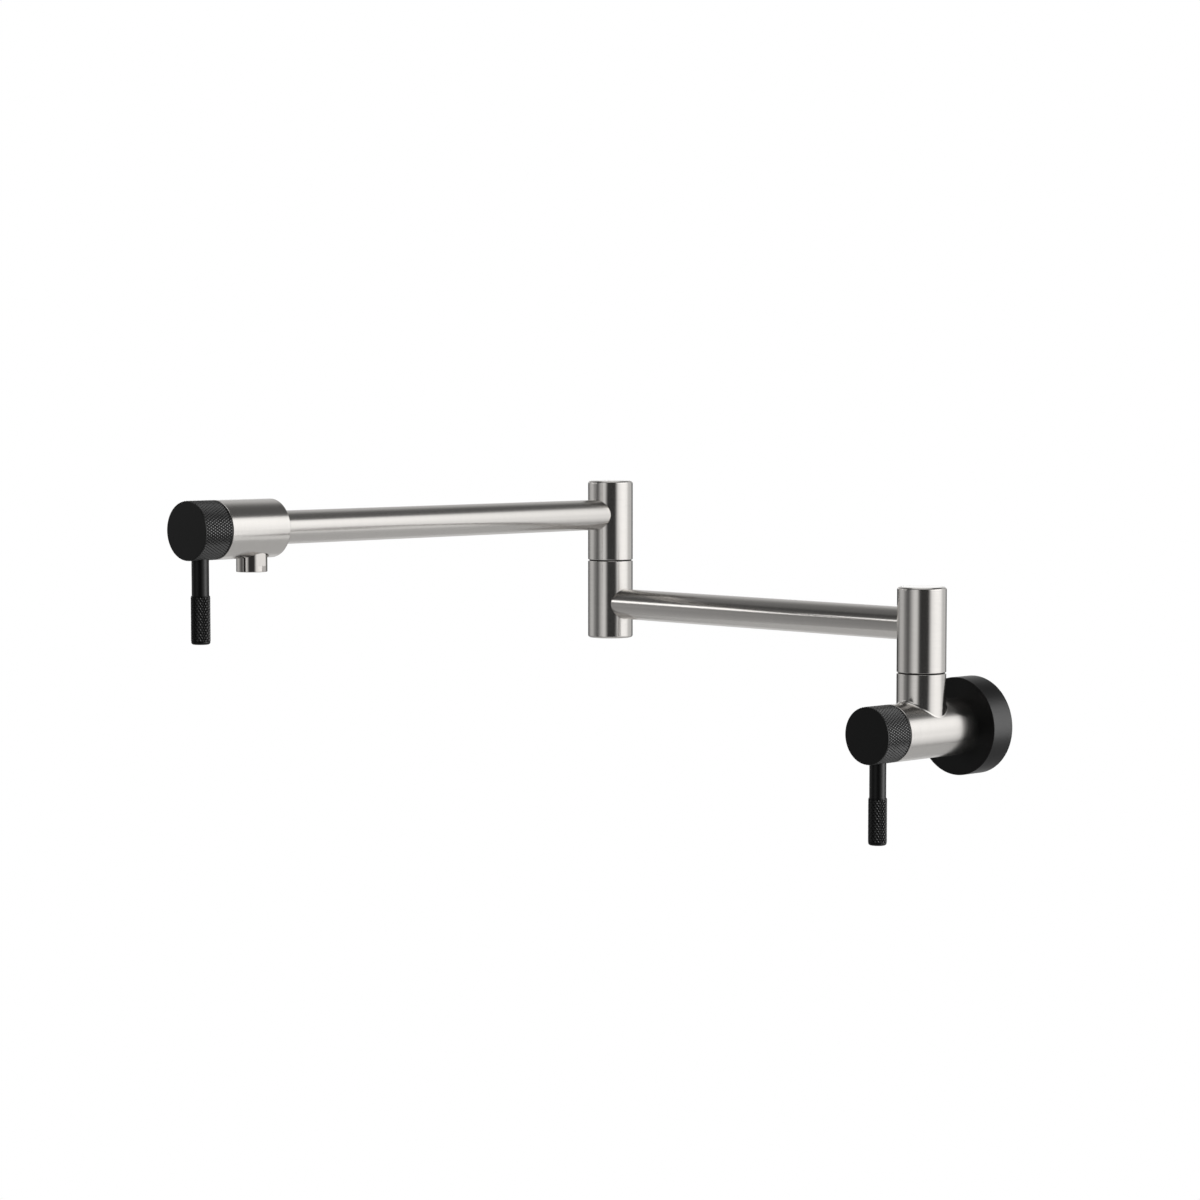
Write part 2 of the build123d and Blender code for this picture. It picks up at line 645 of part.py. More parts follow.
make_cartridge("spout", spout_valve)
make_handle("spout", spout_valve)

insert_top = aerator_reach - aerator_recess - insert_length
with BuildPart() as aerator_seal:
    revolve(ring(nozzle, aerator_top_d / 2, aerator_r, aerator_socket_top, aerator_top), axis=axis_of(nozzle))
save(aerator_seal, "aerator_seal")

with BuildPart() as aerator_shell:
    revolve(outline(nozzle, [
        (aerator_top_d / 2, aerator_top), (aerator_thread_r, aerator_top), (aerator_thread_r, thread_end),
        (aerator_r, thread_end), (aerator_r, aerator_reach), (aerator_bore_r, aerator_reach),
        (aerator_bore_r, insert_top), (aerator_top_d / 2, insert_top),
    ]), axis=axis_of(nozzle))
    fillet(end_rims(aerator_shell, Axis.Z, 0, aerator_r), radius=rim_fillet)
    with BuildSketch(nozzle.offset(thread_end)):
        Circle(aerator_socket_r)
        Rectangle(2 * (aerator_r - flat_depth), 2 * aerator_socket_r, mode=Mode.SUBTRACT)
    extrude(amount=flat_end - thread_end, mode=Mode.SUBTRACT)
save(aerator_shell, "aerator_shell")

with BuildPart() as aerator_insert:
    with BuildSketch(nozzle.offset(insert_top)):
        Circle(aerator_bore_r - fit_clearance)
        Circle(jet_d / 2, mode=Mode.SUBTRACT)
        for circle in (1, 2):
            with PolarLocations(circle * jet_pitch, 6 * circle):
                Circle(jet_d / 2, mode=Mode.SUBTRACT)
    extrude(amount=insert_length)
save(aerator_insert, "aerator_insert")
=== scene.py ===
"""Wall-mounted pot filler in brushed steel with a black flange, knobs and levers, as it hangs folded half out."""
import json
from math import atan2, pi, radians, sin, tan

import bmesh
import bpy
from mathutils import Matrix, Vector


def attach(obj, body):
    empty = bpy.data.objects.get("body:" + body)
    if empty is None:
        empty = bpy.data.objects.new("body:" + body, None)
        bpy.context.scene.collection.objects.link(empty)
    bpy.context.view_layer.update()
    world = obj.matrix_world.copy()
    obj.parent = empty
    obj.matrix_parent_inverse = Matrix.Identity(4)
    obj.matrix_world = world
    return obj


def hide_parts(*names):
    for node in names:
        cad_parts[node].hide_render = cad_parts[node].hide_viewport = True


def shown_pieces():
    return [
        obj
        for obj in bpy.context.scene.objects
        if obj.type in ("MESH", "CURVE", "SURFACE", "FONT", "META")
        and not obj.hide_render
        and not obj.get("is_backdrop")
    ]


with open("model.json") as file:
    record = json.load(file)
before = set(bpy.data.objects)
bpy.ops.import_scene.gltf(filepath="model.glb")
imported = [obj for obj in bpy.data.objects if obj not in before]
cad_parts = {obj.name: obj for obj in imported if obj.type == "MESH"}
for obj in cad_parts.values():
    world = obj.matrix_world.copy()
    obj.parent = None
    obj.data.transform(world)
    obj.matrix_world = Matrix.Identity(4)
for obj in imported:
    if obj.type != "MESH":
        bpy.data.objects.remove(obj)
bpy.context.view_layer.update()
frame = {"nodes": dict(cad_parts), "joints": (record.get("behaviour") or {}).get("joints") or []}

# Wall flange: a turned disc, hollow behind, that covers the hole in the wall, sprayed matt black.
# It slides over the valve's shank, and a set screw from below locks it.
# A rubber ring in a groove behind it keeps splashes out of the wall.
mm = 0.001
nodes = frame["nodes"]
black_dark = (0.0014, 0.0014, 0.0014)
black_light = (0.0024, 0.0024, 0.0024)
spray_grain = 0.35 * mm


def add(tree, kind, settings=(), **inputs):
    """Add a shader node with its settings and inputs; an input that is another node's output is linked."""
    made = tree.nodes.new("ShaderNode" + kind)
    for name, value in dict(settings).items():
        setattr(made, name, value)
    for name, value in inputs.items():
        socket = made.inputs[int(name[1:])] if name[1:].isdigit() else made.inputs[name.replace("_", " ")]
        if isinstance(value, bpy.types.NodeSocket):
            tree.links.new(value, socket)
        else:
            socket.default_value = value
    return made


def new_finish(name, metallic):
    """A finish with its shader and the coordinates of the piece that it is on."""
    finish = bpy.data.materials.new(name)
    finish.use_nodes = True
    shader = finish.node_tree.nodes["Principled BSDF"]
    shader.inputs["Metallic"].default_value = metallic
    place = add(finish.node_tree, "TexCoord").outputs["Object"]
    return finish, shader, place


def shade_by(tree, pattern, dark, light, start=0.3, end=0.7):
    """Colour that goes from dark to light with a pattern."""
    ramp = add(tree, "ValToRGB", Fac=pattern)
    ramp.color_ramp.elements[0].position = start
    ramp.color_ramp.elements[0].color = (*dark, 1)
    ramp.color_ramp.elements[1].position = end
    ramp.color_ramp.elements[1].color = (*light, 1)
    return ramp.outputs["Color"]


def speckled(name, dark, light, grain, rough, relief, metallic=0.0, shine=0.5):
    """Sprayed, moulded or ground surface: an even speckle in its colour, gloss and relief."""
    finish, shader, place = new_finish(name, metallic)
    tree = finish.node_tree
    speckle = add(tree, "TexNoise", Vector=place, Scale=1 / grain, Detail=3.0, Roughness=0.6).outputs["Fac"]
    gloss = add(tree, "MapRange", Value=speckle, From_Min=0.3, From_Max=0.7, To_Min=rough[0], To_Max=rough[1])
    bump = add(tree, "Bump", Height=speckle, Strength=0.5, Distance=relief)
    shader.inputs["Specular IOR Level"].default_value = shine
    tree.links.new(shade_by(tree, speckle, dark, light), shader.inputs["Base Color"])
    tree.links.new(gloss.outputs["Result"], shader.inputs["Roughness"])
    tree.links.new(bump.outputs["Normal"], shader.inputs["Normal"])
    return finish


def dress(finish, *names):
    """Put one finish on CAD nodes."""
    for name in names:
        nodes[name].data.materials.clear()
        nodes[name].data.materials.append(finish)


black_spray = speckled("black_spray", dark=black_dark, light=black_light, grain=spray_grain,
                       rough=(0.34, 0.42), relief=0.006 * mm, shine=0.25)
seal_rubber = speckled("seal_rubber", dark=(0.016, 0.016, 0.016), light=(0.030, 0.030, 0.029), grain=0.25 * mm,
                       rough=(0.70, 0.85), relief=0.02 * mm)
screw_steel = speckled("screw_steel", dark=(0.030, 0.030, 0.032), light=(0.060, 0.060, 0.062), grain=0.20 * mm,
                       rough=(0.35, 0.50), relief=0.01 * mm, metallic=0.9)
dress(black_spray, "wall_flange")
dress(seal_rubber, "flange_gasket")
dress(screw_steel, "flange_set_screw")

# Valve body: one steel bar turned with its shank, cross-drilled, with the post welded on top and blended.
# Both are brushed on the lathe, so their fine lines run round them, across the length of each.
inlet = Vector((0, 0, 0))
into_room = Vector((0, -1, 0))
upright = Vector((0, 0, 1))
post_edge = 14.3 * mm  # just outside the post, within its fillet
post_foot = 6 * mm  # below the lowest point of the fillet
steel_dark = (0.655, 0.634, 0.609)
steel_light = (0.726, 0.703, 0.675)
joints = {joint["name"]: joint for joint in frame["joints"]}


def foot_of(swivel):
    """Point of an upright swivel's axis that is level with the inlet."""
    x, y, _ = joints[swivel]["pos_m"]
    return Vector((x, y, 0))


def turned_lines(tree, place, through, along):
    """Lathe lines round an axis, the way across them in which they spread a reflection, and the faced ends."""
    lines_per_metre = 4000
    wander = 90
    far_back = through - along * 10
    lean = along.to_track_quat("Z", "Y").to_euler()
    local = add(tree, "Mapping", {"vector_type": "TEXTURE"}, Vector=place, Location=through, Rotation=lean)
    flat = add(tree, "VectorMath", {"operation": "MULTIPLY"}, _0=local.outputs["Vector"], _1=(1, 1, 0))
    radius = add(tree, "VectorMath", {"operation": "LENGTH"}, _0=flat.outputs["Vector"]).outputs["Value"]
    height = add(tree, "SeparateXYZ", Vector=local.outputs["Vector"]).outputs["Z"]
    travel = add(tree, "Math", {"operation": "ADD"}, _0=height, _1=radius).outputs["Value"]
    rise = add(tree, "CombineXYZ", Z=travel).outputs["Vector"]
    drift = add(tree, "VectorMath", {"operation": "SCALE"}, _0=flat.outputs["Vector"], Scale=wander)
    stretched = add(tree, "VectorMath", {"operation": "MULTIPLY_ADD"}, _0=rise, _1=(0, 0, lines_per_metre),
                    _2=drift.outputs["Vector"])
    lines = add(tree, "TexNoise", Vector=stretched.outputs["Vector"], Scale=1.0, Detail=4.0, Roughness=0.65)
    across = add(tree, "VectorMath", {"operation": "SUBTRACT"}, _0=place, _1=far_back)
    way_out = add(tree, "TexCoord").outputs["Normal"]
    end = add(tree, "VectorMath", {"operation": "DOT_PRODUCT"}, _0=way_out, _1=along).outputs["Value"]
    end = add(tree, "Math", {"operation": "ABSOLUTE"}, _0=end).outputs["Value"]
    return lines.outputs["Fac"], across.outputs["Vector"], end


def turned_metal(finish, shader, dark, light, rough, spread, lines, across, end):
    """Metal with lathe lines in its colour, gloss and relief, reflections spread across them and finer ends."""
    tree = finish.node_tree
    gloss = add(tree, "MapRange", Value=lines, From_Min=0.3, From_Max=0.7, To_Min=rough[0], To_Max=rough[1])
    finer = add(tree, "MapRange", Value=end, From_Min=0.80, From_Max=0.97, To_Min=1.0, To_Max=0.45)
    gloss = add(tree, "Math", {"operation": "MULTIPLY"}, _0=gloss.outputs["Result"], _1=finer.outputs["Result"])
    bump = add(tree, "Bump", Height=lines, Strength=0.25, Distance=0.003 * mm)
    turned = add(tree, "VectorTransform", {"convert_from": "OBJECT", "convert_to": "WORLD"}, Vector=across)
    shader.inputs["Anisotropic"].default_value = spread
    tree.links.new(shade_by(tree, lines, dark, light), shader.inputs["Base Color"])
    tree.links.new(gloss.outputs["Value"], shader.inputs["Roughness"])
    tree.links.new(bump.outputs["Normal"], shader.inputs["Normal"])
    tree.links.new(turned.outputs["Vector"], shader.inputs["Tangent"])


post = foot_of("wall_swivel")
valve_steel, valve_shader, valve_place = new_finish("valve_steel", 1.0)
tree = valve_steel.node_tree
body_lines, body_across, body_end = turned_lines(tree, valve_place, inlet, into_room)
post_lines, post_across, _ = turned_lines(tree, valve_place, post, upright)
from_post = add(tree, "VectorMath", {"operation": "MULTIPLY_ADD"}, _0=valve_place, _1=(1, 1, 0), _2=-post)
off_axis = add(tree, "VectorMath", {"operation": "LENGTH"}, _0=from_post.outputs["Vector"]).outputs["Value"]
height = add(tree, "SeparateXYZ", Vector=valve_place).outputs["Z"]
near = add(tree, "Math", {"operation": "LESS_THAN"}, _0=off_axis, _1=post_edge).outputs["Value"]
above = add(tree, "Math", {"operation": "GREATER_THAN"}, _0=height, _1=post_foot).outputs["Value"]
on_post = add(tree, "Math", {"operation": "MULTIPLY"}, _0=near, _1=above).outputs["Value"]
both_lines = add(tree, "Mix", {"data_type": "FLOAT"}, _0=on_post, _2=body_lines, _3=post_lines).outputs[0]
both_across = add(tree, "Mix", {"data_type": "VECTOR"}, _0=on_post, _4=body_across, _5=post_across).outputs[1]
turned_metal(valve_steel, valve_shader, steel_dark, steel_light, rough=(0.17, 0.21), spread=0.60,
             lines=both_lines, across=both_across, end=body_end)
dress(valve_steel, "valve_body")

# Cartridges: turned brass shells and slotted brass nuts that hold two lapped ceramic discs, a stem and seals.
# One sits in the valve body, its twin in the spout head; the stem turns one disc on the other.
nozzle_to_mouth = 27.2 * mm
spout_way = Vector(joints["spout_valve_turn"]["axis"])
nozzle = Vector(joints["spout_valve_turn"]["pos_m"]) - spout_way * nozzle_to_mouth
brass_dark = (0.62, 0.43, 0.17)
brass_light = (0.74, 0.54, 0.25)


def turned_brass(name, through, along):
    """Brass as it comes from the lathe."""
    finish, shader, place = new_finish(name, 1.0)
    lines, across, end = turned_lines(finish.node_tree, place, through, along)
    turned_metal(finish, shader, brass_dark, brass_light, rough=(0.22, 0.34), spread=0.6,
                 lines=lines, across=across, end=end)
    return finish


ceramic = speckled("lapped_ceramic", dark=(0.82, 0.80, 0.75), light=(0.88, 0.86, 0.81), grain=0.15 * mm,
                   rough=(0.12, 0.22), relief=0.002 * mm)
for prefix, through, along in (("wall", inlet, into_room), ("spout", nozzle, spout_way)):
    brass = turned_brass(prefix + "_cartridge_brass", through, along)
    dress(brass, prefix + "_cartridge_shell", prefix + "_cartridge_nut", prefix + "_stem")
    dress(ceramic, prefix + "_fixed_disc", prefix + "_moving_disc")
    dress(seal_rubber, prefix + "_cartridge_seal", prefix + "_seat_seal", prefix + "_stem_seal")
    dress(screw_steel, prefix + "_knob_screw")

# Knobs: turned from bar, the rim rolled with a diamond knurl between two plain edges, sprayed matt black.
# Each slides on its stem, and a hidden screw behind the lever's thread locks it.
knob_radius = 16.2 * mm  # over the knurl
knob_core = 15.7 * mm  # under the knurl
knob_back = 0.4 * mm  # heights are measured from the mouth that the knob covers
knob_front = 19.3 * mm
knob_flat = 15.5 * mm
knob_ease = 0.2 * mm
recess_radius = 13.0 * mm
recess_floor = 5.0 * mm
back_edge_radius = 16.1 * mm
back_edge_end = 1.0 * mm
front_edge_radius = 16.0 * mm
front_edge_start = 18.8 * mm
knob_slope = 0.3 * mm  # height of the slope from a plain edge down to the core
knurl_pitch = 2.85 * mm  # along the axis, diamond to diamond


def spun(bm, profile):
    """Turn a profile of (radius, height) points; a third value is the radius to which that corner is eased."""
    corners = [bm.verts.new((radius, 0, height)) for radius, height, *_ in profile]
    for pair in zip(corners, corners[1:]):
        bm.edges.new(pair)
    for corner, (_, _, *eases) in zip(corners, profile):
        for ease in eases:
            bmesh.ops.bevel(bm, geom=[corner], offset=ease, affect="VERTICES", segments=8, profile=0.5,
                            material=-1)
    bmesh.ops.spin(bm, geom=bm.verts[:] + bm.edges[:], cent=(0, 0, 0), axis=(0, 0, 1), dvec=(0, 0, 0),
                   angle=2 * pi, steps=128, use_merge=True)


def sheet_of(verts):
    """All vertices joined to these ones."""
    found = set(verts)
    to_visit = list(found)
    while to_visit:
        vert = to_visit.pop()
        for edge in vert.link_edges:
            other = edge.other_vert(vert)
            if other not in found:
                found.add(other)
                to_visit.append(other)
    return list(found)


def rolled_knurl(bm, radius, starts, low, high, flank, rise):
    """Diamonds pressed up from a flat sheet, cut to a strip, closed at both ends and rolled round the axis."""
    sliver = 1e-7
    lip = 0.3 * mm
    half_round = pi * radius / starts
    half_along = knurl_pitch / 2
    cells = 2 * (starts // 2 + int((high - low) / knurl_pitch / 2) + 2)
    sheet = bmesh.ops.create_grid(bm, x_segments=cells, y_segments=cells, size=cells / 2)["verts"]
    bmesh.ops.rotate(bm, verts=sheet, cent=(0, 0, 0), matrix=Matrix.Rotation(pi / 4, 3, "Z"))
    bmesh.ops.scale(bm, verts=sheet, vec=(half_round * 2 ** 0.5, half_along * 2 ** 0.5, 1))
    faces = list({face for vert in sheet for face in vert.link_faces})
    bmesh.ops.inset_individual(bm, faces=faces, thickness=flank, depth=rise, use_even_offset=True)
    strip = sheet_of(sheet)
    middle = (low + high) / 2
    width = pi * radius
    for centre, facing in (((-width, 0, 0), (-1, 0, 0)), ((width, 0, 0), (1, 0, 0)),
                           ((0, low - middle, 0), (0, -1, 0)), ((0, high - middle, 0), (0, 1, 0))):
        edges = list({edge for vert in strip for edge in vert.link_edges})
        faces = list({face for vert in strip for face in vert.link_faces})
        bmesh.ops.bisect_plane(bm, geom=strip + edges + faces, dist=sliver, plane_co=centre, plane_no=facing,
                               clear_outer=True)
        strip = sheet_of([vert for vert in strip if vert.is_valid])
    ends = []
    for edge in {edge for vert in strip for edge in vert.link_edges if edge.is_boundary}:
        start, end = (abs(vert.co.x) for vert in edge.verts)
        if abs(end - start) > sliver:
            ends.append(edge)
    pulled = bmesh.ops.extrude_edge_only(bm, edges=ends)["geom"]
    for vert in (part for part in pulled if isinstance(part, bmesh.types.BMVert)):
        vert.co.z = -rise / 2
        vert.co.y *= 1 + lip / abs(vert.co.y)
        strip.append(vert)
    for face in {face for vert in strip for face in vert.link_faces}:
        face.material_index = 1
    for vert in strip:
        turn = Matrix.Rotation(vert.co.x / radius, 3, "Z")
        vert.co = turn @ Vector((radius - rise + vert.co.z, 0, middle + vert.co.y))


def finish_piece(bm, name, place, body, node, slot, *finishes):
    """Close a piece's seams, stand it in its place and let it take over from its CAD node."""
    bmesh.ops.remove_doubles(bm, verts=bm.verts, dist=1e-6)
    bmesh.ops.recalc_face_normals(bm, faces=bm.faces)
    bmesh.ops.transform(bm, matrix=place, verts=bm.verts)
    mesh = bpy.data.meshes.new(name)
    bm.to_mesh(mesh)
    bm.free()
    mesh.polygons.foreach_set("use_smooth", [True] * len(mesh.polygons))
    mesh.set_sharp_from_angle(angle=radians(15))
    piece = bpy.data.objects.new(name, mesh)
    bpy.context.scene.collection.objects.link(piece)
    for finish in finishes:
        mesh.materials.append(finish)
    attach(piece, body)
    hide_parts(node)


def mouth_of(valve_turn):
    """Place of a valve's open end, with its own Z out of the valve and its own Y up."""
    x, y, _ = joints[valve_turn]["axis"]
    return (Matrix.Translation(joints[valve_turn]["pos_m"]) @ Matrix.Rotation(atan2(x, -y), 4, "Z")
            @ Matrix.Rotation(pi / 2, 4, "X"))


black_knurl = speckled("black_knurl", dark=black_dark, light=black_light, grain=spray_grain,
                       rough=(0.27, 0.35), relief=0.002 * mm, shine=0.76)
mouths = {"wall": mouth_of("wall_valve_turn"), "spout": mouth_of("spout_valve_turn")}
for prefix, mouth in mouths.items():
    bm = bmesh.new()
    spun(bm, [
        (0, recess_floor), (recess_radius, recess_floor), (recess_radius, knob_back),
        (back_edge_radius, knob_back, knob_ease), (back_edge_radius, back_edge_end),
        (knob_core, back_edge_end + knob_slope), (knob_core, front_edge_start - knob_slope),
        (front_edge_radius, front_edge_start), (front_edge_radius, knob_front, knob_ease),
        (knob_flat, knob_front), (0, knob_front),
    ])
    rolled_knurl(bm, knob_radius, starts=64, low=1.4 * mm, high=18.5 * mm, flank=0.46 * mm, rise=0.50 * mm)
    finish_piece(bm, prefix + "_knurled_knob", mouth, prefix + "_handle", prefix + "_knob", "black",
                 black_spray, black_knurl)

# Levers: a turned rod with a plain shank and a thicker end, knurled like the knob, sprayed matt black.
# Its thread screws into the rim of the knob and covers the locking screw.
lever_radius = 4.7 * mm
lever_thread_radius = 2.5 * mm
lever_thread_end = 7.0 * mm  # heights are measured from the knob's axis
lever_start = 14.6 * mm
lever_tip = 61.5 * mm
grip_radius = 5.25 * mm  # over the knurl
grip_core = 4.85 * mm  # under the knurl
grip_edge_radius = 5.15 * mm
grip_start = 35.2 * mm
upper_edge_end = 35.7 * mm
lower_edge_start = 60.0 * mm
grip_slope = 0.2 * mm
grip_start_ease = 0.3 * mm
lever_tip_ease = 1.3 * mm
black_grip = speckled("black_grip", dark=black_dark, light=black_light, grain=spray_grain,
                      rough=(0.27, 0.35), relief=0.002 * mm, shine=0.34)
hang = Matrix.Translation((0, 0, (knob_back + knob_front) / 2)) @ Matrix.Rotation(pi / 2, 4, "X")
for prefix, mouth in mouths.items():
    bm = bmesh.new()
    spun(bm, [
        (0, lever_thread_end), (lever_thread_radius, lever_thread_end), (lever_thread_radius, lever_start),
        (lever_radius, lever_start), (lever_radius, grip_start),
        (grip_edge_radius, grip_start, grip_start_ease), (grip_edge_radius, upper_edge_end),
        (grip_core, upper_edge_end + grip_slope), (grip_core, lower_edge_start - grip_slope),
        (grip_edge_radius, lower_edge_start), (grip_edge_radius, lever_tip, lever_tip_ease), (0, lever_tip),
    ])
    rolled_knurl(bm, grip_radius, starts=20, low=36.0 * mm, high=59.7 * mm, flank=0.45 * mm, rise=0.34 * mm)
    finish_piece(bm, prefix + "_knurled_lever", mouth @ hang, prefix + "_handle", prefix + "_lever", "black",
                 black_spray, black_grip)

# Swivels: hollow brass spigots with rubber rings, nylon washers and a spring clip, screwed into the piece below.
# The sleeves of the arms turn on them, and the water passes through their cross holes.
elbow = foot_of("elbow_swivel")
# The washers' near-black colour and low gloss are painted shade. They stand in for the shadow in the seam gap at
# each swivel.
nylon = speckled("nylon_painted_seam_shade", dark=(0.003, 0.003, 0.003), light=(0.006, 0.006, 0.006), grain=0.3 * mm,
                 rough=(0.45, 0.6), relief=0.01 * mm, shine=0.2)
clip_steel = speckled("clip_steel", dark=(0.30, 0.30, 0.30), light=(0.40, 0.40, 0.40), grain=0.2 * mm,
                      rough=(0.3, 0.42), relief=0.004 * mm, metallic=1.0)
for prefix, through in (("wall", post), ("elbow", elbow)):
    dress(turned_brass(prefix + "_spigot_brass", through, upright), prefix + "_spigot")
    dress(seal_rubber, prefix + "_spigot_seals")
    dress(nylon, prefix + "_thrust_washer", prefix + "_retaining_washer")
    dress(clip_steel, prefix + "_retaining_clip")

# Lower arm: a steel tube let into the sleeve that turns on the post, which is a steel tube capped on top.
# Every seam is ground flush, then sleeve and arm are each brushed round and round.
lower_arm_height = 59.6 * mm
toward_elbow = Vector((-1, 0, 0))


def brushed_steel(name, through, along, rough=(0.16, 0.20), spread=0.45):
    """Stainless steel brushed round one axis."""
    finish, shader, place = new_finish(name, 1.0)
    lines, across, end = turned_lines(finish.node_tree, place, through, along)
    turned_metal(finish, shader, steel_dark, steel_light, rough, spread, lines, across, end)
    return finish


dress(brushed_steel("wall_sleeve_steel", post, upright), "wall_sleeve", "wall_sleeve_cap")
dress(brushed_steel("lower_arm_steel", post + upright * lower_arm_height, toward_elbow), "lower_arm_tube")

# Elbow: two lengths of steel tube that meet at the swivel's seam, the upper one capped and the lower one plugged.
# Cap and plug are ground flush, and both tubes are brushed round in one setting.
elbow_steel = brushed_steel("elbow_steel", elbow, upright, rough=(0.18, 0.22), spread=0.75)
dress(elbow_steel, "elbow_lower_sleeve", "elbow_plug", "elbow_upper_sleeve", "elbow_cap")

# Upper arm and spout head: a steel tube from the elbow into the back of a head that is turned from bar.
# They share one axis and are brushed round it, the tube a little coarser than the head.
upper_arm_steel = brushed_steel("upper_arm_steel", nozzle, spout_way, rough=(0.22, 0.27), spread=0.30)
spout_steel = brushed_steel("spout_steel", nozzle, spout_way, rough=(0.18, 0.23), spread=0.35)
dress(upper_arm_steel, "upper_arm_tube")
dress(spout_steel, "spout_head")

# Aerator: a short polished steel nozzle with two flats for a key, screwed up into the spout head.
# Its plastic insert breaks the water into soft jets, and a rubber ring seals it.
polished = speckled("polished_steel", dark=(0.585, 0.56, 0.535), light=(0.665, 0.64, 0.612), grain=0.5 * mm,
                    rough=(0.07, 0.12), relief=0.001 * mm, metallic=1.0)
jet_plastic = speckled("jet_plastic", dark=(0.60, 0.60, 0.59), light=(0.70, 0.70, 0.69), grain=0.3 * mm,
                       rough=(0.4, 0.55), relief=0.005 * mm)
dress(polished, "aerator_shell")
dress(jet_plastic, "aerator_insert")
dress(seal_rubber, "aerator_seal")

# Studio floor: a plain pale disc well below the tap, with a faint unevenness.
# It is brightened for the camera and for what the steel reflects, and keeps the tap's shadow.
floor_radius = 1.25
floor_height = -0.9
lift_in_view = 0.75
lift_in_steel = 0.25
floor_mesh = bpy.data.meshes.new("floor")
bm = bmesh.new()
bmesh.ops.create_circle(bm, cap_ends=True, segments=96, radius=floor_radius)
bmesh.ops.translate(bm, verts=bm.verts, vec=(0, 0, floor_height))
bm.to_mesh(floor_mesh)
bm.free()
floor = bpy.data.objects.new("floor", floor_mesh)
bpy.context.scene.collection.objects.link(floor)
floor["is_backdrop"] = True
pale, floor_shader, place = new_finish("pale_floor", 0.0)
tree = pale.node_tree
tone = add(tree, "TexNoise", Vector=place, Scale=3.0, Detail=2.0).outputs["Fac"]
tree.links.new(shade_by(tree, tone, (0.54, 0.54, 0.54), (0.57, 0.57, 0.57)), floor_shader.inputs["Base Color"])
floor_shader.inputs["Roughness"].default_value = 0.9
floor_shader.inputs["Specular IOR Level"].default_value = 0.0
floor_shader.inputs["Emission Color"].default_value = (1, 1, 1, 1)
path = add(tree, "LightPath")
in_steel = add(tree, "Math", {"operation": "MULTIPLY"}, _0=path.outputs["Is Glossy Ray"], _1=lift_in_steel)
lift = add(tree, "Math", {"operation": "MULTIPLY_ADD"}, _0=path.outputs["Is Camera Ray"], _1=lift_in_view,
           _2=in_steel.outputs["Value"])
tree.links.new(lift.outputs["Value"], floor_shader.inputs["Emission Strength"])
pale.cycles.emission_sampling = "NONE"
floor_mesh.materials.append(pale)

# Studio room: soft boxes to the left, the right, behind and overhead, with dark gaps between them.
# The camera sees the room as white, and the steel sees its boxes and gaps.
camera_turn = radians(46.924)
room_light = 0.04
world = bpy.data.worlds.new("white_room")
bpy.context.scene.world = world
world.use_nodes = True
tree = world.node_tree
way = add(tree, "TexCoord").outputs["Generated"]
facing = add(tree, "Mapping", {"vector_type": "TEXTURE"}, Vector=way, Rotation=(0, 0, camera_turn - pi / 2))
round_room = add(tree, "TexGradient", {"gradient_type": "RADIAL"}, Vector=facing.outputs["Vector"]).outputs["Fac"]
height = add(tree, "SeparateXYZ", Vector=way).outputs["Z"]


def eased(value, start, end, inside):
    """Edge of a soft box, eased in or out between two values."""
    return add(tree, "MapRange", {"interpolation_type": "SMOOTHSTEP"}, Value=value, From_Min=start, From_Max=end,
               To_Min=1 - inside, To_Max=inside).outputs["Result"]


def soft_box(tone, left, right, low, high):
    """Light of a soft box, each edge eased between two angles in degrees, from the camera or the horizon."""
    for start, end, inside in ((*left, 1), (*right, 0)):
        edge = eased(round_room, start / 360 + 0.5, end / 360 + 0.5, inside)
        tone = add(tree, "Math", {"operation": "MULTIPLY"}, _0=tone, _1=edge).outputs["Value"]
    for start, end, inside in ((*low, 1), (*high, 0)):
        edge = eased(height, sin(radians(start)), sin(radians(end)), inside)
        tone = add(tree, "Math", {"operation": "MULTIPLY"}, _0=tone, _1=edge).outputs["Value"]
    return tone


glow = add(tree, "MapRange", Value=height, From_Min=-0.5, From_Max=0.5, To_Min=0.68, To_Max=1.52).outputs["Result"]
window = soft_box(glow, (22, 46), (93, 115), (-42, -28), (30, 36))
window_middle = soft_box(0.20, (42, 66), (74, 100), (-30, -10), (30, 38))
window_foot = soft_box(0.18, (78, 90), (100, 114), (-34, -24), (-12, -4))
right_wall = soft_box(0.62, (97, 115), (125, 160), (-42, -28), (30, 38))
front_left = soft_box(0.74, (-76, -36), (-32, -12), (-40, -25), (30, 40))
left_wall = soft_box(0.36, (-158, -130), (-112, -58), (-60, -50), (-10, 38))
left_edge = soft_box(0.18, (-134, -120), (-104, -90), (-16, -6), (0, 20))
back_low = soft_box(0.66, (140, 170), (190, 200), (-60, -50), (-22, -6))
back_low_left = soft_box(0.66, (-200, -190), (-170, -140), (-60, -50), (-22, -6))
back_high = soft_box(0.54, (136, 172), (190, 200), (0, 2), (32, 56))
back_high_left = soft_box(0.54, (-200, -190), (-178, -90), (0, 2), (30, 60))
back_wall = soft_box(0.50, (140, 165), (190, 200), (0, 2), (6, 20))
back_wall_left = soft_box(0.50, (-200, -190), (-165, -140), (0, 2), (6, 20))
ceiling = soft_box(0.06, (-200, -190), (190, 200), (34, 42), (89, 90))
overhead = soft_box(0.9, (-200, -190), (190, 200), (58, 70), (89.9, 90))
for light in (window, window_middle, window_foot, right_wall, front_left, left_wall, left_edge, back_low,
              back_low_left, back_high, back_high_left, back_wall, back_wall_left, ceiling, overhead):
    room_light = add(tree, "Math", {"operation": "ADD"}, _0=room_light, _1=light).outputs["Value"]
path = add(tree, "LightPath")
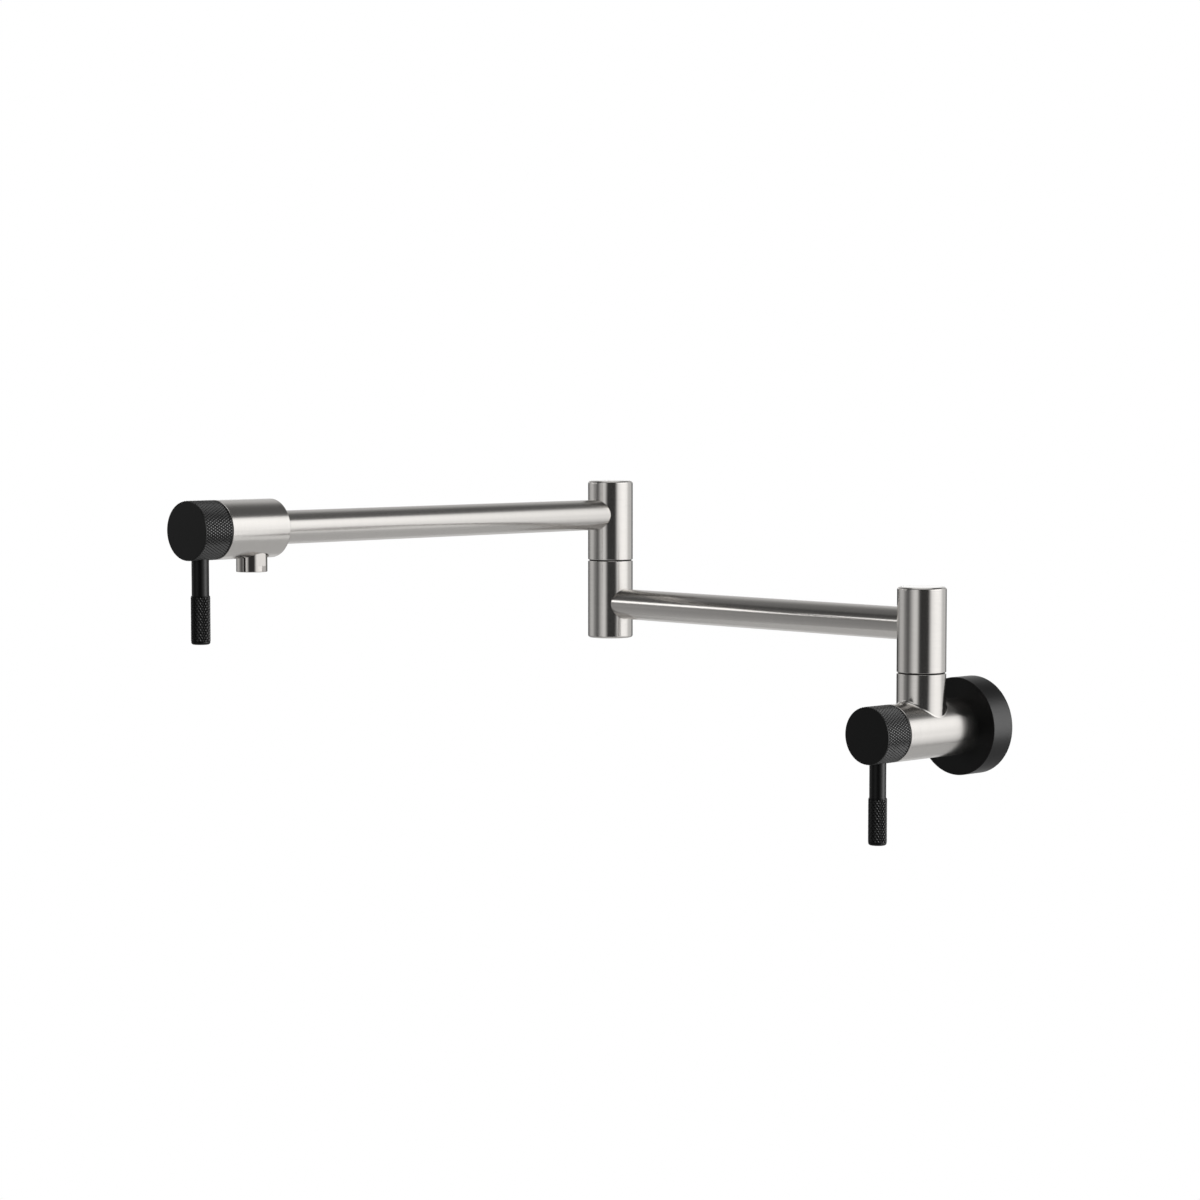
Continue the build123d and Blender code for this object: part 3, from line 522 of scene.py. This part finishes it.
seen_room = add(tree, "Mix", {"data_type": "RGBA"}, _0=path.outputs["Is Camera Ray"], _6=room_light,
                _7=(1, 1, 1, 1)).outputs[2]
tree.links.new(seen_room, tree.nodes["Background"].inputs["Color"])

# Studio lights: a low strip on the left that draws the bright line along the lower arm,
# and a tall panel on the right that lights only the black pieces and shows their knurl.
tap_middle = Vector((-0.13, -0.05, 0.06))
light_distance = 2.0


def hang_light(name, width, height, radiance, bearing, rise):
    """A soft panel turned to the tap; its bearing from the camera and its rise are in degrees."""
    panel = bpy.data.lights.new(name, "AREA")
    panel.shape = "RECTANGLE"
    panel.size = width
    panel.size_y = height
    panel.energy = radiance * pi * width * height
    light = bpy.data.objects.new(name, panel)
    turn = Matrix.Rotation(camera_turn - pi / 2 + radians(bearing), 3, "Z")
    toward = turn @ Vector((1, 0, tan(radians(rise))))
    light.location = tap_middle + toward * light_distance
    light.rotation_euler = toward.to_track_quat("Z", "Y").to_euler()
    bpy.context.scene.collection.objects.link(light)
    return light


hang_light("strip_light", 1.4, 0.30, radiance=1.55, bearing=-97, rise=13)
key_light = hang_light("key_light", 1.3, 2.2, radiance=5.6, bearing=76, rise=10)
black_pieces = bpy.data.collections.new("black_pieces")
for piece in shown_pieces():
    if piece.data.materials and piece.data.materials[0] == black_spray:
        black_pieces.objects.link(piece)
key_light.light_linking.receiver_collection = black_pieces

# Camera: stands where the photograph was taken from, a little above the tap and to its right.
# Its lens is the focal length in pixels that the edges of the tap give, on a film of the usual width.
camera_place = (1.086601, -1.309680, 0.179499)
camera_dip = radians(3.666)
focal_pixels = 2957.564
frame_pixels = 1200
film_width = 36
camera_data = bpy.data.cameras.new("camera")
camera_data.lens = focal_pixels / frame_pixels * film_width
camera_data.sensor_width = film_width
camera_data.clip_end = 100
camera = bpy.data.objects.new("camera", camera_data)
camera.location = camera_place
camera.rotation_euler = (pi / 2 - camera_dip, 0, camera_turn)
bpy.context.scene.collection.objects.link(camera)
bpy.context.scene.camera = camera
bpy.context.scene.view_settings.view_transform = "Standard"
